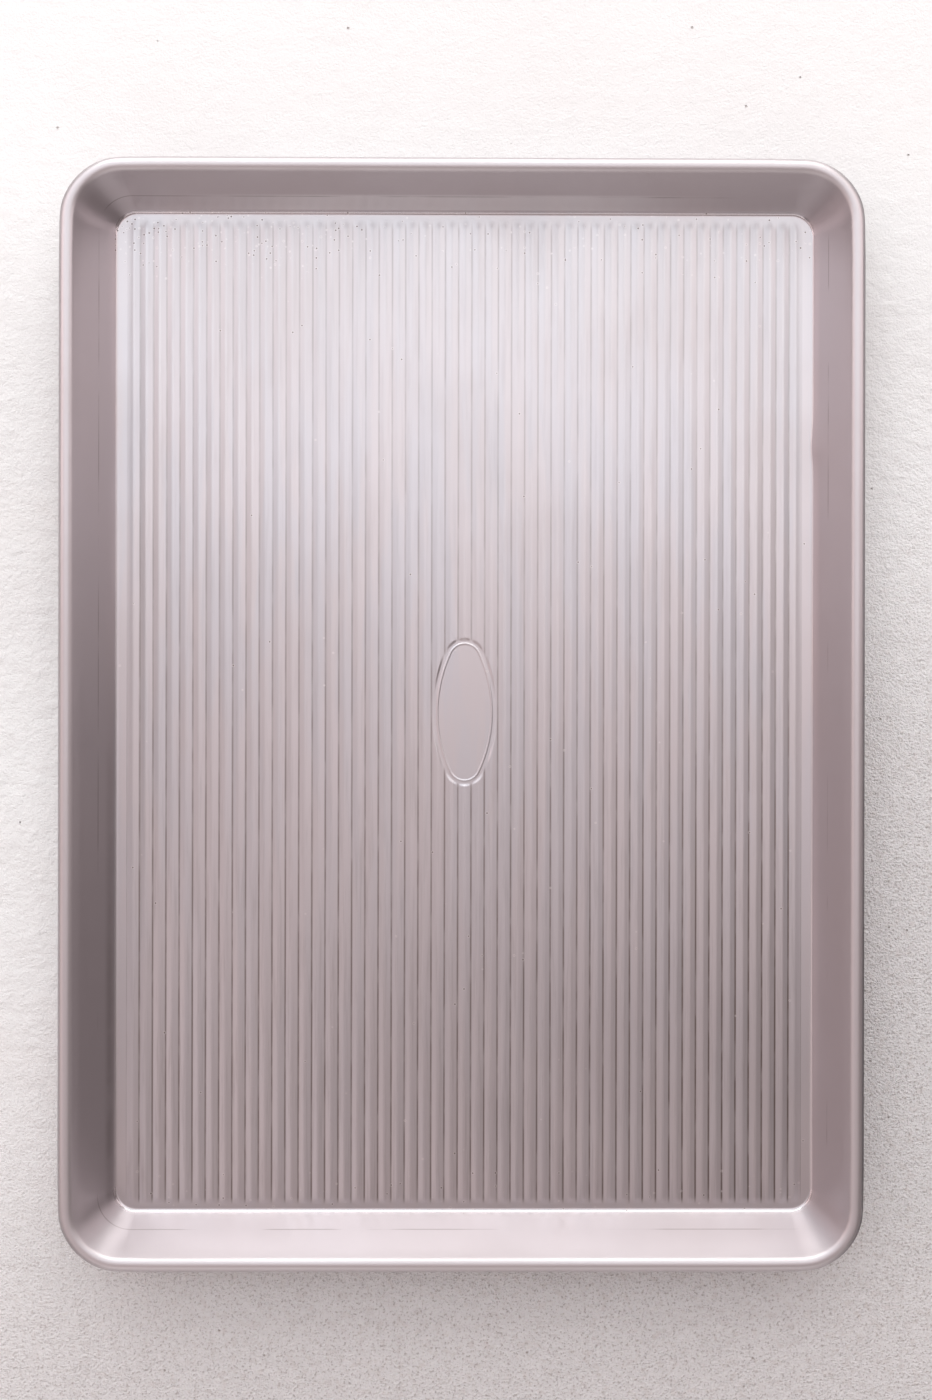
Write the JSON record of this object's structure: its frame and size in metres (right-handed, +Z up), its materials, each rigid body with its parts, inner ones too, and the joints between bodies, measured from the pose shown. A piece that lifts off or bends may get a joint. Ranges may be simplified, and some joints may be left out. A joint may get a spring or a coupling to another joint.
{
  "type": "jelly roll pan",
  "caption": "Shallow rectangular baking pan of pressed steel with a fluted floor, an oval pad in its middle, leaning walls, rounded corners and a rolled, wired rim.",
  "frame": {"origin": "middle of the underside, on the table that the pan stands on", "axes": "+X across the flutes, along the pan's short side; +Y along the flutes, along its long side; +Z up, out of the open top"},
  "size_m": [0.33, 0.456, 0.026],
  "materials": {
    "sheet": "satin",
    "wire": "satin"
  },
  "bodies": {
    "root": {"pan_body": "sheet", "rim_wire": "wire"}
  },
  "joints": []
}
